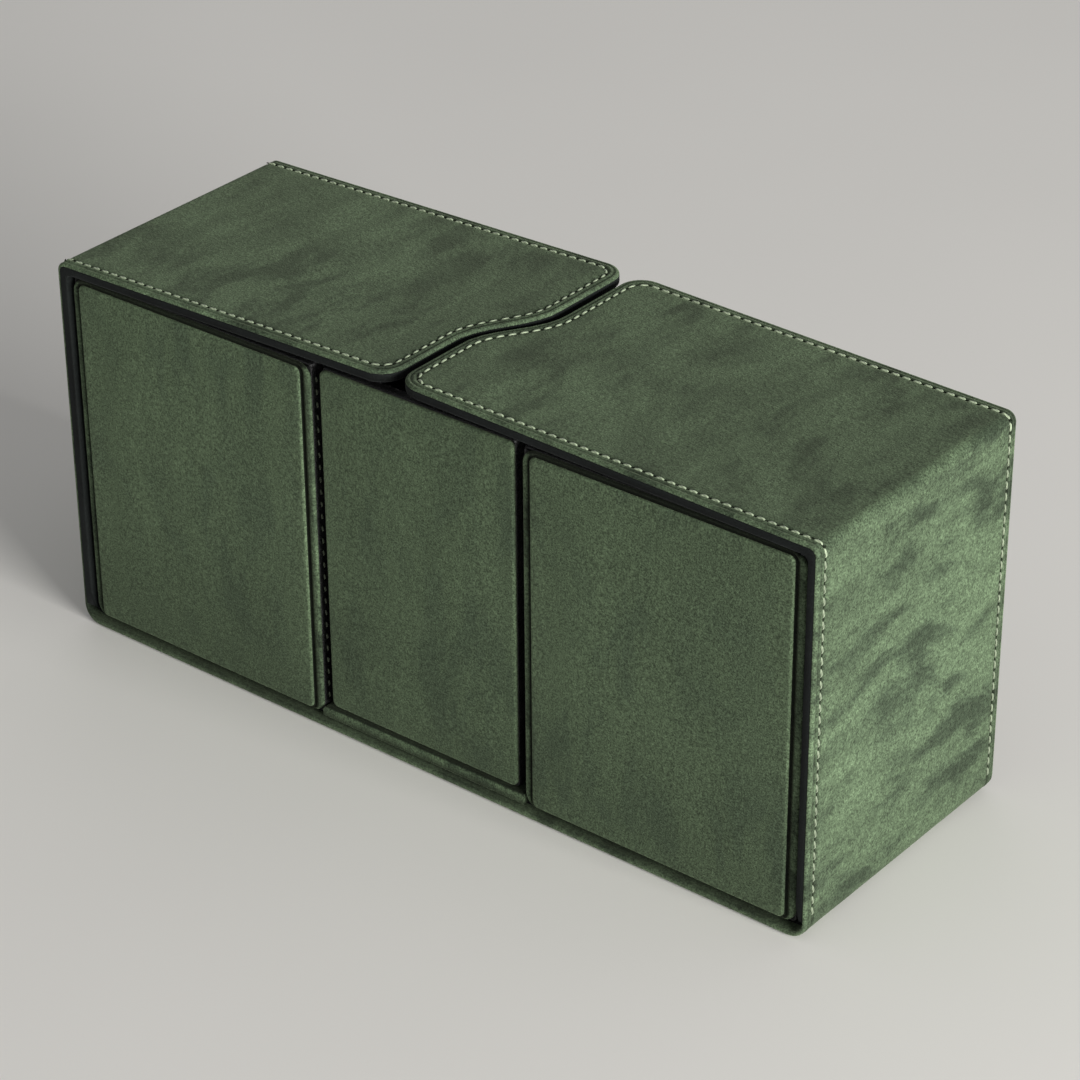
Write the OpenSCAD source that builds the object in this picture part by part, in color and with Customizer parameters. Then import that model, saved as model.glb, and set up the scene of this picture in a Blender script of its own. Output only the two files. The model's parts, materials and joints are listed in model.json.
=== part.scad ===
// Three-compartment card deck box: a suede wrap with two top flaps round two deck boxes and a tray.
// Origin: centre of the footprint on the table. +X to the owner's right, +Y to the back, +Z up.

/* [Body] */
// Width of the closed box
body_w = 250; // [230:1:300]
// Depth of the closed box, front edge to back edge of the wrap
body_d = 86; // [84:1:110]
// Height of the closed box at its hinge edges
body_h = 113; // [108:1:130]

/* [Wrap] */
// Thickness of the suede cover on the side walls
cover_t = 1.0; // [0.8:0.1:1.4]
// Thickness of the suede-covered floor, board included
floor_t = 2.2; // [2:0.1:3]
// Thickness of the floor's greyboard
floor_board_t = 1.2; // [0.8:0.1:1.4]
// Thickness of the padded lining inside each side wall, board included
lining_t = 2.2; // [1.8:0.1:2.6]
// Thickness of each side wall's greyboard
wall_board_t = 1.2; // [0.8:0.1:1.4]
// Thickness of the lining on the floor
floor_lining_t = 0.6; // [0.4:0.1:1]
// Outside radius of the lower corners
corner_r = 5.5; // [4.5:0.5:8]
// Height of the centre platform, whose front edge is the lip under the tray
platform_h = 3.1; // [2.5:0.1:4]
// How far the platform's lip stands back from the wrap's front edge
lip_recess = 1.0; // [0.5:0.1:2]

/* [Flaps] */
// Thickness of a flap's suede cover
flap_cover_t = 1.0; // [0.8:0.1:1.4]
// Thickness of a flap's lining, board included
flap_lining_t = 2.6; // [2.2:0.1:3]
// Thickness of a flap's greyboard
flap_board_t = 1.6; // [1:0.1:1.8]
// Distance that the soft hinge bridges on each side of the top corner
hinge_gap = 5; // [4:0.5:7]
// Gap between the free edges of the two flaps
flap_gap = 2.2; // [1.5:0.1:4]
// Where the split meets the front edge, to the right of centre
split_front_x = -6; // [-15:0.5:0]
// Where the split meets the back edge, to the right of centre
split_back_x = 5; // [0:0.5:15]
// Distance from the front edge to the start of the split's bend
bend_start = 27; // [15:1:35]
// Distance from the front edge to the end of the split's bend
bend_end = 55; // [45:1:70]
// Radius of the flaps' free corners
flap_corner_r = 7; // [5:0.5:9]
// Angle by which the closed left flap rises towards its free edge
left_rise = 1.4; // [0:0.1:2]
// Angle by which the closed right flap rises towards its free edge
right_rise = 1.1; // [0:0.1:2]

/* [Deck boxes and tray] */
// Width of the centre tray
tray_w = 64; // [50:1:80]
// Gap between the tray and each deck box
box_gap = 3.2; // [1.5:0.1:4]
// Gap between a deck box and the wrap's lining
side_clearance = 1.0; // [0.5:0.1:2]
// Thickness of the leatherette skin on the sides and underneath
skin_t = 0.6; // [0.5:0.1:1]
// Thickness of the greyboard carcass
carcass_t = 2.4; // [1.8:0.1:3]
// Thickness of the microfibre lining inside each box
box_lining_t = 0.8; // [0.5:0.1:1.2]
// Thickness of the suede layer behind a raised panel
layer_t = 1.0; // [0.8:0.1:2.5]
// Thickness of the raised panel
raised_t = 0.9; // [0.8:0.1:2]
// How far the raised panels stand back from the wrap's edges
raised_recess = 0.4; // [0.3:0.1:1]
// Margin of the layer beside the raised panel
raised_margin = 2.9; // [2:0.1:4]
// Thickness of the tray's front and back panels
tray_panel_t = 1.4; // [1:0.1:3]
// How far the tray's panels stand back from the wrap's edges
tray_recess = 1.6; // [0.8:0.1:3]

/* [Stitching] */
// Distance from one stitch to the next
stitch_pitch = 3.3; // [2.8:0.1:5]
// Length of one stitch
stitch_l = 2.3; // [1.5:0.1:2.6]
// Width of the thread
stitch_w = 0.8; // [0.4:0.1:0.8]
// How far a stitch stands out of the cover
stitch_h = 0.25; // [0.15:0.05:0.3]
// Distance from the edge to the row of stitches
stitch_inset = 3.0; // [2.5:0.1:4]
// Distance from a deck box's front layer to the stitches on its side
box_stitch_inset = 1.8; // [1.2:0.1:4]

/* [Magnets] */
// Length of a block magnet
magnet_l = 16; // [10:1:20]
// Width of a block magnet
magnet_w = 5; // [3:0.5:6]
// Thickness of a block magnet
magnet_t = 1.2; // [1:0.1:1.4]

/* [Hidden] */

SUEDE = "#46583f";
RAISED_SUEDE = "#4c5f46";
CHARCOAL = "#34363e";
LEATHERETTE = "#17181a";
MICROFIBRE = "#4d4f57";
BOARD = "#8f8a80";
THREAD = "#9fb08c";
MAGNET = "#b9bcc2";

LEFT = -1;
RIGHT = 1;
FRONT = -1;
BACK = 1;
ARC_FN = 48;
BEND_STEPS = 14;
CORNER_STEPS = 6;

running_gap = 0.3;
flap_rest_gap = 0.5;
board_edge = 2.5;

flap_t = flap_cover_t + flap_lining_t;
wall_top = body_h - hinge_gap;
inner_w = body_w - 2 * (cover_t + lining_t);
box_w = (inner_w - 2 * side_clearance - tray_w - 2 * box_gap) / 2;
box_x = tray_w / 2 + box_gap + box_w / 2;
box_bottom = floor_t + floor_lining_t + running_gap;
box_top = body_h - flap_t - flap_rest_gap;
layer_y = body_d / 2 - raised_recess - raised_t;
box_body_d = 2 * (layer_y - layer_t);
platform_top = floor_t + floor_lining_t + platform_h;
platform_w = tray_w + 2 * box_gap - 2 * running_gap;
tray_bottom = platform_top + running_gap;
tray_body_d = 2 * (body_d / 2 - tray_recess - tray_panel_t);
cover_inner_r = corner_r - 2;
lining_inner_r = cover_inner_r - 1.5;
layer_corner_r = 4;
raised_corner_r = 1.8;
raised_foot = 1;
raised_head = 1.1;
magnet_from_tip = 14;

// A rectangle standing on the X axis with its two lower corners rounded.
module cradle_2d(w, h, r) {
    translate([-w / 2, r]) square([w, h - r]);
    translate([-w / 2 + r, 0]) square([w - 2 * r, h]);
    for (side = [LEFT, RIGHT]) translate([side * (w / 2 - r), r]) circle(r, $fn = ARC_FN);
}

// A rectangle centred on X, standing at z0, with four rounded corners.
module plate_2d(w, z0, z1, r) {
    translate([-w / 2, z0 + r]) square([w, z1 - z0 - 2 * r]);
    translate([-w / 2 + r, z0]) square([w - 2 * r, z1 - z0]);
    for (side = [LEFT, RIGHT], z = [z0 + r, z1 - r]) {
        translate([side * (w / 2 - r), z]) circle(r, $fn = ARC_FN);
    }
}

// Extrudes a profile drawn in X and Z along Y, centred on the middle of the box.
module along_y(d) {
    rotate([90, 0, 0]) linear_extrude(d, center = true) children();
}

// A block centred on X and Y that stands at z0.
module block(w, d, z0, h) {
    translate([-w / 2, -d / 2, z0]) cube([w, d, h]);
}

// ---------- wrap ----------

module floor_pocket() {
    block(body_w - 2 * corner_r, body_d - 2 * board_edge, (floor_t - floor_board_t) / 2, floor_board_t);
}

module wall_pocket(side) {
    pocket_d = body_d - 2 * board_edge;
    pocket_z = floor_t + corner_r;
    x_mid = side * (inner_w / 2 + lining_t / 2);
    translate([x_mid - wall_board_t / 2, -pocket_d / 2, pocket_z]) {
        cube([wall_board_t, pocket_d, wall_top - board_edge - pocket_z]);
    }
}

module base_cover() {
    color(SUEDE) difference() {
        along_y(body_d) difference() {
            cradle_2d(body_w, wall_top, corner_r);
            translate([0, floor_t]) cradle_2d(body_w - 2 * cover_t, wall_top, cover_inner_r);
        }
        floor_pocket();
    }
}

module base_lining() {
    color(CHARCOAL) difference() {
        along_y(body_d) translate([0, floor_t]) difference() {
            cradle_2d(body_w - 2 * cover_t, wall_top - floor_t, cover_inner_r);
            translate([0, floor_lining_t]) cradle_2d(inner_w, wall_top, lining_inner_r);
        }
        wall_pocket(LEFT);
        wall_pocket(RIGHT);
    }
}

module bottom_board() {
    color(BOARD) floor_pocket();
}

module left_wall_board() {
    color(BOARD) wall_pocket(LEFT);
}

module right_wall_board() {
    color(BOARD) wall_pocket(RIGHT);
}

module centre_platform() {
    color(SUEDE) block(platform_w, body_d - 2 * lip_recess, floor_t + floor_lining_t, platform_h);
}

// One row of stitches up a side wall, standing out of its outer face.
module wall_stitch_row(x, side, y, z0, z1) {
    count = floor((z1 - z0) / stitch_pitch);
    for (i = [0 : count - 1]) {
        translate([side > 0 ? x : x - stitch_h, y - stitch_w / 2, z0 + i * stitch_pitch]) {
            cube([stitch_h, stitch_w, stitch_l]);
        }
    }
}

module base_stitching() {
    color(THREAD) for (side = [LEFT, RIGHT], face = [FRONT, BACK]) {
        wall_stitch_row(side * body_w / 2, side, face * (body_d / 2 - stitch_inset), corner_r + 1, wall_top - 1);
    }
}

// The soft hinge seen end on: the part of the rounded corner that no flap sweeps through.
module hinge_strip() {
    along_y(body_d) intersection() {
        circle(hinge_gap - running_gap, $fn = ARC_FN);
        translate([hinge_gap, -hinge_gap]) circle(hinge_gap, $fn = ARC_FN);
    }
}

module left_hinge() {
    color(SUEDE) translate([-body_w / 2, 0, body_h]) hinge_strip();
}

module right_hinge() {
    color(SUEDE) translate([body_w / 2, 0, body_h]) mirror([1, 0, 0]) hinge_strip();
}

// ---------- flaps: drawn with the hinge axis on Y, reaching along +X, top face at z = 0 ----------

function bend_part(y) = max(0, min(1, (y + body_d / 2 - bend_start) / (bend_end - bend_start)));
function split_x(y) = split_front_x + (split_back_x - split_front_x) * (1 - cos(180 * bend_part(y))) / 2;
function bend_slope(y) = (split_x(y + 0.1) - split_x(y - 0.1)) / 0.2;
function free_edge_x(y, side, inset) =
    body_w / 2 - side * split_x(y) - flap_gap / 2 - inset * norm([1, bend_slope(y)]);

// The free end of a flap from its front edge to its back edge, moved in by inset.
function free_end(side, inset) =
    let (
        r = flap_corner_r - inset / 2,
        y_edge = body_d / 2 - inset,
        front_x = free_edge_x(-y_edge, side, inset),
        back_x = free_edge_x(y_edge, side, inset)
    )
    concat(
        [for (i = [0 : CORNER_STEPS]) let (a = -90 + 90 * i / CORNER_STEPS)
            [front_x - r + r * cos(a), -y_edge + r + r * sin(a)]],
        [for (i = [0 : BEND_STEPS]) let (y = -body_d / 2 + bend_start + (bend_end - bend_start) * i / BEND_STEPS)
            [free_edge_x(y, side, inset), y]],
        [for (i = [0 : CORNER_STEPS]) let (a = 90 * i / CORNER_STEPS)
            [back_x - r + r * cos(a), y_edge - r + r * sin(a)]]
    );

module flap_2d(side, inset) {
    y_edge = body_d / 2 - inset;
    polygon(concat([[hinge_gap + inset, -y_edge]], free_end(side, inset), [[hinge_gap + inset, y_edge]]));
}

module flap_slab(side, inset, z0, t) {
    translate([0, 0, z0]) linear_extrude(t) flap_2d(side, inset);
}

// Puts a flap on its hinge axis and tips it up by its rise.
module on_hinge(side) {
    rise = side == LEFT ? left_rise : right_rise;
    translate([side * body_w / 2, 0, body_h]) mirror([side == RIGHT ? 1 : 0, 0, 0]) {
        rotate([0, -rise, 0]) children();
    }
}

module flap_board_slab(side) {
    flap_slab(side, board_edge, -flap_cover_t - flap_board_t, flap_board_t);
}

module flap_magnet_blocks(side) {
    tip_x = min(free_edge_x(-body_d / 2, side, 0), free_edge_x(body_d / 2, side, 0));
    for (face = [FRONT, BACK]) {
        translate([tip_x - magnet_from_tip, face * (body_d / 2 - board_edge - magnet_w), -flap_cover_t - magnet_t]) {
            translate([-magnet_l / 2, -magnet_w / 2, 0]) cube([magnet_l, magnet_w, magnet_t]);
        }
    }
}

module flap_cover(side) {
    color(SUEDE) on_hinge(side) flap_slab(side, 0, -flap_cover_t, flap_cover_t);
}

module flap_lining(side) {
    color(CHARCOAL) on_hinge(side) difference() {
        flap_slab(side, 0, -flap_t, flap_lining_t);
        flap_board_slab(side);
    }
}

module flap_board(side) {
    color(BOARD) on_hinge(side) difference() {
        flap_board_slab(side);
        flap_magnet_blocks(side);
    }
}

module flap_magnets(side) {
    color(MAGNET) on_hinge(side) flap_magnet_blocks(side);
}

// Stitches set end to end along a path of points, on the plane z = 0.
module stitches_along(points) {
    lengths = [for (i = 0, s = 0; i < len(points);
        s = s + (i + 1 < len(points) ? norm(points[i + 1] - points[i]) : 0), i = i + 1) s];
    x_at = [for (i = [0 : len(points) - 1]) [lengths[i], points[i].x]];
    y_at = [for (i = [0 : len(points) - 1]) [lengths[i], points[i].y]];
    total = lengths[len(lengths) - 1];
    for (s = [stitch_pitch / 2 : stitch_pitch : total - stitch_pitch / 2]) {
        ahead = [lookup(s + stitch_l / 2, x_at), lookup(s + stitch_l / 2, y_at)];
        behind = [lookup(s - stitch_l / 2, x_at), lookup(s - stitch_l / 2, y_at)];
        run = ahead - behind;
        translate([(ahead.x + behind.x) / 2, (ahead.y + behind.y) / 2, 0]) {
            rotate([0, 0, atan2(run.y, run.x)]) block(stitch_l, stitch_w, 0, stitch_h);
        }
    }
}

module flap_stitching(side) {
    y_edge = body_d / 2 - stitch_inset;
    path = concat([[hinge_gap, -y_edge]], free_end(side, stitch_inset), [[hinge_gap, y_edge]]);
    color(THREAD) on_hinge(side) stitches_along(path);
}

module left_flap_cover() {
    flap_cover(LEFT);
}

module left_flap_lining() {
    flap_lining(LEFT);
}

module left_flap_board() {
    flap_board(LEFT);
}

module left_flap_magnets() {
    flap_magnets(LEFT);
}

module left_flap_stitching() {
    flap_stitching(LEFT);
}

module right_flap_cover() {
    flap_cover(RIGHT);
}

module right_flap_lining() {
    flap_lining(RIGHT);
}

module right_flap_board() {
    flap_board(RIGHT);
}

module right_flap_magnets() {
    flap_magnets(RIGHT);
}

module right_flap_stitching() {
    flap_stitching(RIGHT);
}

// ---------- open-topped containers: a board carcass, a leatherette skin and a lining ----------

module carcass(w, d, z0) {
    color(BOARD) difference() {
        block(w - 2 * skin_t, d, z0 + skin_t, box_top - z0 - skin_t);
        block(w - 2 * (skin_t + carcass_t), d - 2 * carcass_t, z0 + skin_t + carcass_t, body_h);
    }
}

module skin(w, d, z0) {
    color(LEATHERETTE) difference() {
        block(w, d, z0, box_top - z0);
        block(w - 2 * skin_t, d + 1, z0 + skin_t, body_h);
    }
}

module lining(w, d, z0) {
    outer_w = w - 2 * (skin_t + carcass_t);
    outer_d = d - 2 * carcass_t;
    floor_z = z0 + skin_t + carcass_t;
    color(MICROFIBRE) difference() {
        block(outer_w, outer_d, floor_z, box_top - floor_z);
        block(outer_w - 2 * box_lining_t, outer_d - 2 * box_lining_t, floor_z + box_lining_t, body_h);
    }
}

module at_box(side) {
    translate([side * box_x, 0, 0]) children();
}

// The suede layer that closes the front or back of a deck box, seen as a strip round the raised panel.
module box_layer(side, face) {
    color(SUEDE) at_box(side) translate([0, face * (layer_y - layer_t / 2), 0]) {
        along_y(layer_t) plate_2d(box_w, box_bottom, box_top, layer_corner_r);
    }
}

module box_panel(side, face) {
    color(RAISED_SUEDE) at_box(side) translate([0, face * (layer_y + raised_t / 2), 0]) {
        along_y(raised_t) {
            plate_2d(box_w - 2 * raised_margin, box_bottom + raised_foot, box_top - raised_head, raised_corner_r);
        }
    }
}

module box_stitching(side) {
    row_y = box_body_d / 2 - box_stitch_inset;
    color(THREAD) at_box(side) for (wall = [LEFT, RIGHT], face = [FRONT, BACK]) {
        wall_stitch_row(wall * box_w / 2, wall, face * row_y, box_bottom + stitch_inset, box_top - stitch_inset);
    }
}

module left_box_carcass() {
    at_box(LEFT) carcass(box_w, box_body_d, box_bottom);
}

module left_box_skin() {
    at_box(LEFT) skin(box_w, box_body_d, box_bottom);
}

module left_box_lining() {
    at_box(LEFT) lining(box_w, box_body_d, box_bottom);
}

module left_box_front_layer() {
    box_layer(LEFT, FRONT);
}

module left_box_front_panel() {
    box_panel(LEFT, FRONT);
}

module left_box_back_layer() {
    box_layer(LEFT, BACK);
}

module left_box_back_panel() {
    box_panel(LEFT, BACK);
}

module left_box_stitching() {
    box_stitching(LEFT);
}

module right_box_carcass() {
    at_box(RIGHT) carcass(box_w, box_body_d, box_bottom);
}

module right_box_skin() {
    at_box(RIGHT) skin(box_w, box_body_d, box_bottom);
}

module right_box_lining() {
    at_box(RIGHT) lining(box_w, box_body_d, box_bottom);
}

module right_box_front_layer() {
    box_layer(RIGHT, FRONT);
}

module right_box_front_panel() {
    box_panel(RIGHT, FRONT);
}

module right_box_back_layer() {
    box_layer(RIGHT, BACK);
}

module right_box_back_panel() {
    box_panel(RIGHT, BACK);
}

module right_box_stitching() {
    box_stitching(RIGHT);
}

// ---------- centre tray ----------

// Keeper magnets let into the tops of the tray's front and back walls, under the flaps' magnets.
module tray_magnet_blocks() {
    magnet_y = tray_body_d / 2 - carcass_t / 2;
    for (side = [LEFT, RIGHT], face = [FRONT, BACK]) {
        translate([side * tray_w / 4, face * magnet_y, 0]) {
            block(magnet_l, magnet_t, box_top - magnet_w, magnet_w);
        }
    }
}

module tray_panel(face) {
    color(RAISED_SUEDE) translate([0, face * (tray_body_d / 2 + tray_panel_t / 2), 0]) {
        along_y(tray_panel_t) plate_2d(tray_w, tray_bottom, box_top, raised_corner_r);
    }
}

module tray_carcass() {
    difference() {
        carcass(tray_w, tray_body_d, tray_bottom);
        tray_magnet_blocks();
    }
}

module tray_skin() {
    skin(tray_w, tray_body_d, tray_bottom);
}

module tray_lining() {
    lining(tray_w, tray_body_d, tray_bottom);
}

module tray_front_panel() {
    tray_panel(FRONT);
}

module tray_back_panel() {
    tray_panel(BACK);
}

module tray_magnets() {
    color(MAGNET) tray_magnet_blocks();
}

base_cover();
bottom_board();
left_wall_board();
right_wall_board();
base_lining();
centre_platform();
base_stitching();
left_hinge();
right_hinge();
left_flap_cover();
left_flap_lining();
left_flap_board();
left_flap_magnets();
left_flap_stitching();
right_flap_cover();
right_flap_lining();
right_flap_board();
right_flap_magnets();
right_flap_stitching();
left_box_carcass();
left_box_skin();
left_box_lining();
left_box_front_layer();
left_box_front_panel();
left_box_back_layer();
left_box_back_panel();
left_box_stitching();
right_box_carcass();
right_box_skin();
right_box_lining();
right_box_front_layer();
right_box_front_panel();
right_box_back_layer();
right_box_back_panel();
right_box_stitching();
tray_carcass();
tray_skin();
tray_lining();
tray_front_panel();
tray_back_panel();
tray_magnets();
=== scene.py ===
import json
from math import cos, pi, radians, sin, tan

import bmesh
import bpy
import numpy as np
from bpy.props import FloatProperty, FloatVectorProperty, PointerProperty
from bpy.types import Operator, Panel, PropertyGroup
from mathutils import Matrix, Vector


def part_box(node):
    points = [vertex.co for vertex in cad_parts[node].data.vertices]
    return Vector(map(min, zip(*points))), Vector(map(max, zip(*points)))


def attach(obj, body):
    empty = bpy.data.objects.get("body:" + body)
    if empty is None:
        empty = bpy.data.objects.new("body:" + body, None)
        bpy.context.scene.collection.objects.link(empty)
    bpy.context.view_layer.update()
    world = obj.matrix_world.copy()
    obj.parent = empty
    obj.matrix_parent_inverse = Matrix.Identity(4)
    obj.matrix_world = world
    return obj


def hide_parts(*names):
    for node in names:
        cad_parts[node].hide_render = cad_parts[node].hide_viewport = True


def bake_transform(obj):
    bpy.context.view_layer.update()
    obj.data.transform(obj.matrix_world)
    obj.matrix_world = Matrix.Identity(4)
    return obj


bl_info = {
    "name": "Suede card deck box",
    "version": (1, 0, 0),
    "blender": (4, 5, 0),
    "location": "3D View > Sidebar > Deck box",
    "description": "Dresses a three-compartment card deck box in suede, leatherette and stitching",
    "category": "Object",
}

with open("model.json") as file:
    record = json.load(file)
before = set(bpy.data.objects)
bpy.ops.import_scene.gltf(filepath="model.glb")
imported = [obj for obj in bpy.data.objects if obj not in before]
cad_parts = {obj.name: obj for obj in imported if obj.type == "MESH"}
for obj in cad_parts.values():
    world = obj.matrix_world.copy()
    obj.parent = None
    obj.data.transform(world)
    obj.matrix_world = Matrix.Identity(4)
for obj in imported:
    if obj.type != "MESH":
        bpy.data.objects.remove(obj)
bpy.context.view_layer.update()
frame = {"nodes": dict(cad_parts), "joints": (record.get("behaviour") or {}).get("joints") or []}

MM = 0.001
LEFT, RIGHT = -1, 1
FRONT, BACK = -1, 1

HALF_W, HALF_D, WALL_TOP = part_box("base_cover")[1]
HINGE_Z = frame["joints"][0]["pos_m"][2]
HINGE_GAP = HINGE_Z - WALL_TOP
LINING_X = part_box("base_lining")[1].x
FLOOR_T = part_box("base_lining")[0].z
WALL_LINING_T = 2.2 * MM
FLOOR_LINING_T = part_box("centre_platform")[0].z - FLOOR_T
WRAP_CORNER = 5.5 * MM
WRAP_LINING_CORNER, WRAP_INNER_CORNER = 3.5 * MM, 2.0 * MM
COVER_T = HALF_W - LINING_X
FLAP_LINING_T = 2.6 * MM
FLAP_T = COVER_T + FLAP_LINING_T
FLAP_RISE = {LEFT: radians(1.4), RIGHT: radians(1.1)}
FLAP_GAP = 2.2 * MM
HINGE_BEND = 2.9 * MM
SPLIT_FRONT, SPLIT_BACK = -6 * MM, 5 * MM
BEND_START, BEND_END = 27 * MM, 55 * MM
SKIN_T, CARCASS_T, TUB_T = 0.6 * MM, 2.4 * MM, 0.8 * MM
BOX_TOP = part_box("tray_skin")[1].z
LAYER_CORNER, PAD_CORNER = 4 * MM, 1.8 * MM
BOX_STITCH_INSET, BOX_STITCH_PITCH = 1.8 * MM, 3.7 * MM
BOX_STITCH_SIZE = (1.9 * MM, 0.6 * MM, 0.22 * MM)
STITCH_SINK = -0.2 * MM
RIM_TURN, TUB_DROP = 10 * MM, 9 * MM
LAYER_ROUND = 0.75 * MM
TRAY_PAD_LIFT = 0.7 * MM
SIDE_NAMES = {LEFT: "left", RIGHT: "right"}
FACE_NAMES = {FRONT: "front", BACK: "back"}


# ---------- what a user may change ----------

def length(name, description, default, low, high):
    return FloatProperty(
        name=name, description=description, default=default * MM, min=low * MM, max=high * MM,
        subtype="DISTANCE", unit="LENGTH", precision=5,
    )


def amount(name, description, default, low=0.0, high=1.0):
    return FloatProperty(name=name, description=description, default=default, min=low, max=high)


def colour(name, description, default):
    return FloatVectorProperty(
        name=name, description=description, default=default, min=0.0, max=1.0, size=3, subtype="COLOR",
    )


class DECKBOX_PG_shape(PropertyGroup):
    """Sizes of the soft edges, the padding and the stitching."""

    cover_round: length("Cover edge", "Radius of the suede cover's outer edge", 0.85, 0.3, 0.95)
    lining_round: length("Lining edge", "Radius of the charcoal lining's edges", 0.95, 0.2, 1.2)
    panel_round: length("Panel edge", "Radius of the raised panels' edges", 0.65, 0.4, 1.2)
    panel_crown: length("Panel crown", "How far a raised panel swells at its middle", 0.35, 0.0, 1.0)
    flap_corner: length("Flap corner", "Radius of the flaps' free corners", 7.0, 5.0, 9.0)
    stitch_pitch: length("Stitch pitch", "Distance from one stitch to the next", 3.3, 2.8, 5.0)
    stitch_length: length("Stitch length", "Length of one stitch that shows", 2.75, 1.5, 2.8)
    stitch_width: length("Thread width", "Width of the sewing thread", 0.7, 0.4, 1.0)
    stitch_inset: length("Stitch inset", "Distance from the edge to the row of stitches", 3.0, 2.5, 4.0)
    crease_inset: length("Crease inset", "Distance from the edge to the crease beside it", 1.35, 1.0, 2.0)
    crease_depth: length("Crease depth", "Depth of the crease where the suede turns over", 0.16, 0.0, 0.4)
    stitch_groove: length("Stitch groove", "How deep the stitching pulls the suede in", 0.28, 0.0, 0.5)


class DECKBOX_PG_finish(PropertyGroup):
    """Colours of the materials."""

    suede: colour("Suede", "The green suede of the wrap and flaps", (0.0615, 0.0895, 0.0515))
    raised_suede: colour("Raised suede", "The green suede of the padded panels", (0.066, 0.095, 0.0548))
    charcoal: colour("Charcoal", "The brushed lining of the wrap and flaps", (0.0075, 0.0092, 0.0090))
    leatherette: colour("Leatherette", "The grained skin of the boxes and tray", (0.009, 0.0095, 0.010))
    microfibre: colour("Microfibre", "The lining inside the boxes and tray", (0.075, 0.078, 0.088))
    thread: colour("Thread", "The sewing thread of the wrap and flaps", (0.33, 0.40, 0.27))
    greyboard: colour("Greyboard", "The pressed board inside the walls", (0.26, 0.245, 0.215))
    nickel: colour("Nickel", "The plating of the magnets", (0.60, 0.59, 0.56))
    nap_contrast: amount("Nap contrast", "How dark the brushed streaks of the suede are", 0.58)


class DECKBOX_PG_studio(PropertyGroup):
    """The floor, the light and the camera."""

    floor: colour("Floor", "Colour of the studio floor", (0.80, 0.79, 0.77))
    sky: amount("Fill light", "Strength of the even light from all round", 0.312, 0.0, 3.0)
    key: amount("Key light", "Power of the large light beside the box, in watts", 97.0, 0.0, 200.0)
    top: amount("Top light", "Power of the light over the box, in watts", 0.15, 0.0, 100.0)
    rear: amount("Rear light", "Power of the light behind the box, in watts", 6.0, 0.0, 100.0)
    focal_length: FloatProperty(
        name="Focal length", description="Focal length of the camera, in millimetres", default=119.65,
        min=35.0, max=200.0,
    )


# ---------- materials ----------

class Recipe:
    """One material's node tree, with a principled shader to plug into."""

    def __init__(self, name, roughness, **constants):
        self.material = bpy.data.materials.new(name)
        self.material.use_nodes = True
        self.tree = self.material.node_tree
        self.tree.nodes.clear()
        self.shader = self.tree.nodes.new("ShaderNodeBsdfPrincipled")
        output = self.tree.nodes.new("ShaderNodeOutputMaterial")
        self.tree.links.new(self.shader.outputs[0], output.inputs[0])
        self.shader.inputs["Roughness"].default_value = roughness
        for socket, value in constants.items():
            self.shader.inputs[socket.replace("_", " ")].default_value = value

    def node(self, kind, inputs, output=0, **settings):
        made = self.tree.nodes.new("ShaderNode" + kind)
        for setting, value in settings.items():
            setattr(made, setting, value)
        for socket, value in inputs.items():
            if isinstance(value, bpy.types.NodeSocket):
                self.tree.links.new(value, made.inputs[socket])
            else:
                made.inputs[socket].default_value = value
        return made.outputs[output]

    def place(self):
        """Where a point of a made piece was before any joint moved it, in metres."""
        return self.node("Attribute", {}, "Vector", attribute_name="rest_place")

    def cad_place(self):
        return self.node("TexCoord", {}, "Object")

    def mark(self, name):
        return self.node("Attribute", {}, "Fac", attribute_name=name)

    def stretched(self, place, scale):
        return self.node("VectorMath", {0: place, 1: scale}, operation="MULTIPLY")

    def noise(self, place, scale, detail=2.0, roughness=0.5, distortion=0.0):
        return self.node(
            "TexNoise",
            {"Vector": place, "Scale": scale, "Detail": detail, "Roughness": roughness,
             "Distortion": distortion},
            "Fac",
        )

    def spread(self, value, low, high, to_low=0.0, to_high=1.0, way="SMOOTHSTEP"):
        limits = {"From Min": low, "From Max": high, "To Min": to_low, "To Max": to_high}
        return self.node("MapRange", {"Value": value, **limits}, interpolation_type=way)

    def vary(self, value, low, high, to_low, to_high):
        return self.spread(value, low, high, to_low, to_high, "LINEAR")

    def maths(self, operation, first, second):
        return self.node("Math", {0: first, 1: second}, operation=operation)

    def product(self, *values):
        result = values[0]
        for value in values[1:]:
            result = self.maths("MULTIPLY", result, value)
        return result

    def mixed(self, share, first, second):
        made = self.tree.nodes.new("ShaderNodeMix")
        made.data_type = "RGBA"
        for socket, value in ((made.inputs[0], share), (made.inputs[6], first), (made.inputs[7], second)):
            if isinstance(value, bpy.types.NodeSocket):
                self.tree.links.new(value, socket)
            else:
                socket.default_value = value
        return made.outputs[2]

    def paint(self, tint, *layers):
        """Colours the shader with a tint that each layer makes lighter or darker.

        A layer is a factor, or a value with its range and the factors for the ends of that range.
        """
        start = tint if isinstance(tint, bpy.types.NodeSocket) else tuple(tint)[:3]
        factor = self.product(*(self.vary(*way) if isinstance(way, tuple) else way for way in layers))
        painted = self.node("VectorMath", {0: start, "Scale": factor}, operation="SCALE")
        self.tree.links.new(painted, self.shader.inputs["Base Color"])

    def roughen(self, value):
        self.tree.links.new(value, self.shader.inputs["Roughness"])

    def bump(self, height, distance, strength=1.0):
        made = self.node("Bump", {"Height": height, "Distance": distance, "Strength": strength}, "Normal")
        self.tree.links.new(made, self.shader.inputs["Normal"])


def rgba(tint, factor=1.0):
    return (tint[0] * factor, tint[1] * factor, tint[2] * factor, 1.0)


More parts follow.
